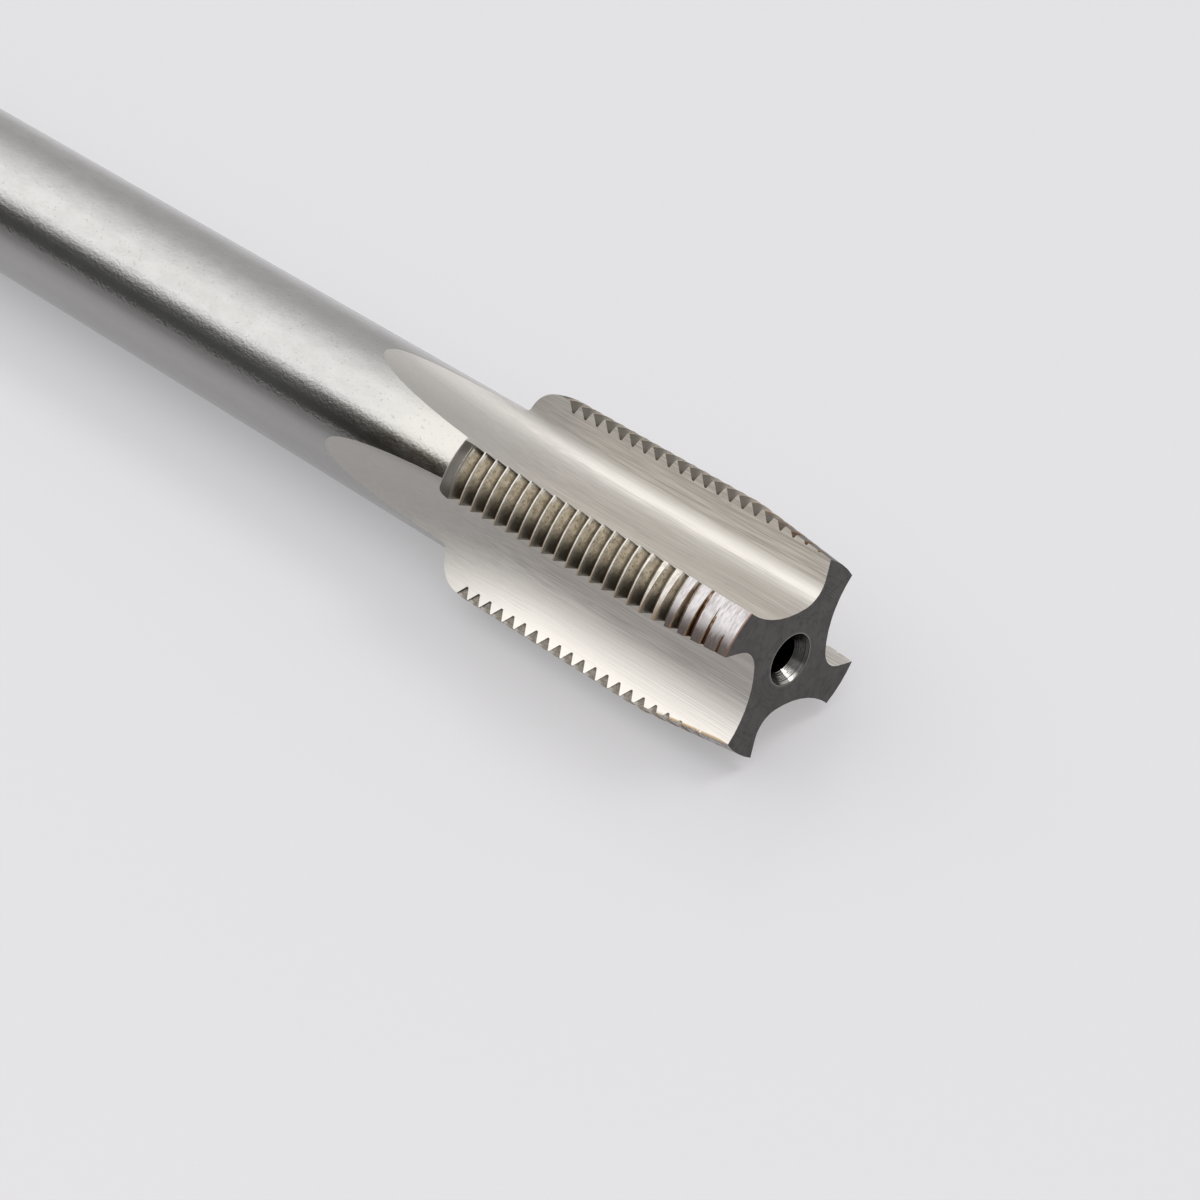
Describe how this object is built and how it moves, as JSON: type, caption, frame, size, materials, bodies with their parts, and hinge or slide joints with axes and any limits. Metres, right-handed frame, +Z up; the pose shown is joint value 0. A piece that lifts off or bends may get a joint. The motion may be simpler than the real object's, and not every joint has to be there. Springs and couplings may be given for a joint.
{
  "type": "thread tap",
  "caption": "Straight-fluted right-hand thread tap: a fluted, threaded cutting body with a tapered lead, on a slimmer round shank that ends in a driving square.",
  "frame": {"origin": "under the middle of the tool's length, on the surface that its lowest two lands rest on", "axes": "+X along the tool's axis towards the cutting tip, +Z up, square to the surface it lies on"},
  "size_m": [0.1, 0.011, 0.011],
  "materials": {
    "tool_steel": "ground high-speed steel: bright satin shank and flutes, darker thread flanks and end face"
  },
  "bodies": {
    "root": {"thread_tap": "tool_steel"}
  },
  "joints": []
}
